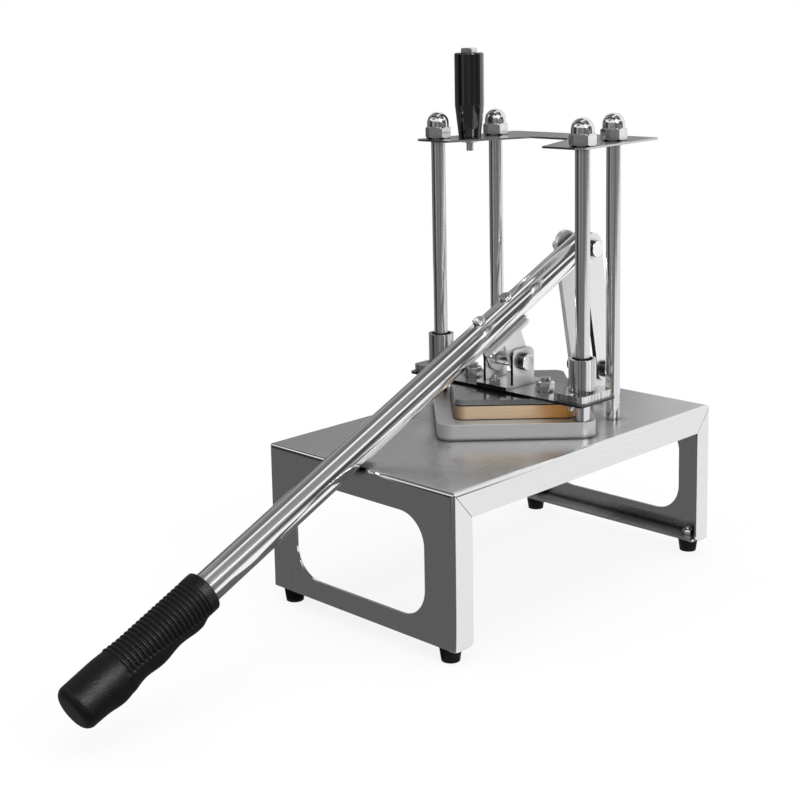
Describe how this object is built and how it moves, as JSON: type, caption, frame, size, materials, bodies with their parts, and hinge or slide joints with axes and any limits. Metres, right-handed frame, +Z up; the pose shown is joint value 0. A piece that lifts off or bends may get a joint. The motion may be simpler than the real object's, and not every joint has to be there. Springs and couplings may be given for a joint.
{
  "type": "french fry cutter",
  "caption": "Vertical lever french fry cutter: a pusher on guide rods presses potatoes through a blade grid in a bent sheet table, driven by a long lever with links at the back.",
  "frame": {"origin": "on the ground under the middle of the whole cutter, lever included, at rest with the lever down", "axes": "+X to the operator's right, +Y away from the operator, towards the links, +Z up"},
  "size_m": [0.2, 0.5858, 0.437],
  "materials": {
    "brushed_sheet": "brushed, satin",
    "polished_steel": "polished",
    "bright_steel": "bright",
    "cast_metal": "fine cast, satin",
    "blade_steel": "ground",
    "black_rubber": "matte",
    "black_plastic": "gloss",
    "tan_plastic": "semi-matte",
    "liner_plastic": "matte"
  },
  "bodies": {
    "base": {"table_body": "brushed_sheet", "rubber_feet": "black_rubber", "foot_screws": "bright_steel", "foot_nuts": "bright_steel", "blade_frame": "cast_metal", "blades_lengthwise": "blade_steel", "blades_crosswise": "blade_steel", "guide_rods_front": "polished_steel", "guide_rods_rear": "polished_steel", "rod_spacers": "polished_steel", "rod_washers": "bright_steel", "rod_nuts": "bright_steel", "top_plate": "brushed_sheet", "dome_nuts": "bright_steel", "side_handle": "black_plastic", "handle_bolt": "bright_steel", "handle_nut": "bright_steel", "rear_bracket": "polished_steel", "bracket_screws": "bright_steel", "bracket_nuts": "bright_steel", "rear_pivot_pin": "bright_steel"},
    "carriage": {"carriage_plate": "brushed_sheet", "guide_bushings": "bright_steel", "bushing_liners": "liner_plastic", "bushing_screws": "bright_steel", "bushing_nuts": "bright_steel", "pusher_backing": "cast_metal", "pusher_seal": "black_rubber", "pusher_block": "tan_plastic", "pusher_studs": "bright_steel", "pusher_washers": "bright_steel", "pusher_nuts": "bright_steel", "clevis_bracket": "polished_steel", "clevis_studs": "bright_steel", "clevis_nuts": "bright_steel", "pivot_bolt": "bright_steel", "pivot_nut": "bright_steel"},
    "lever": {"lever_tube": "polished_steel", "lever_grip": "black_rubber", "lever_end_bush": "bright_steel", "lever_saddle": "polished_steel", "saddle_bush": "bright_steel", "saddle_bolts": "bright_steel", "saddle_nuts": "bright_steel"},
    "link": {"link_left": "polished_steel", "link_right": "polished_steel", "link_top_bolt": "bright_steel", "link_top_nut": "bright_steel", "link_lower_bolts": "bright_steel"}
  },
  "joints": [
    {"name": "carriage_slide", "type": "slide", "parent": "base", "child": "carriage", "axis": [0, 0, 1], "range_m": [0, 0.12]},
    {"name": "lever_pivot", "type": "hinge", "parent": "carriage", "child": "lever", "pos_m": [0, 0.14444, 0.1825], "axis": [1, 0, 0], "range_deg": [-61, 0]},
    {"name": "link_pivot", "type": "hinge", "parent": "lever", "child": "link", "pos_m": [0, 0.23754, 0.26511], "axis": [1, 0, 0], "range_deg": [0, 46]}
  ],
  "couplings": [
    {"joint": "lever_pivot", "follows": "carriage_slide", "rad_per_m": -8.404},
    {"joint": "link_pivot", "follows": "carriage_slide", "rad_per_m": 5.612}
  ]
}
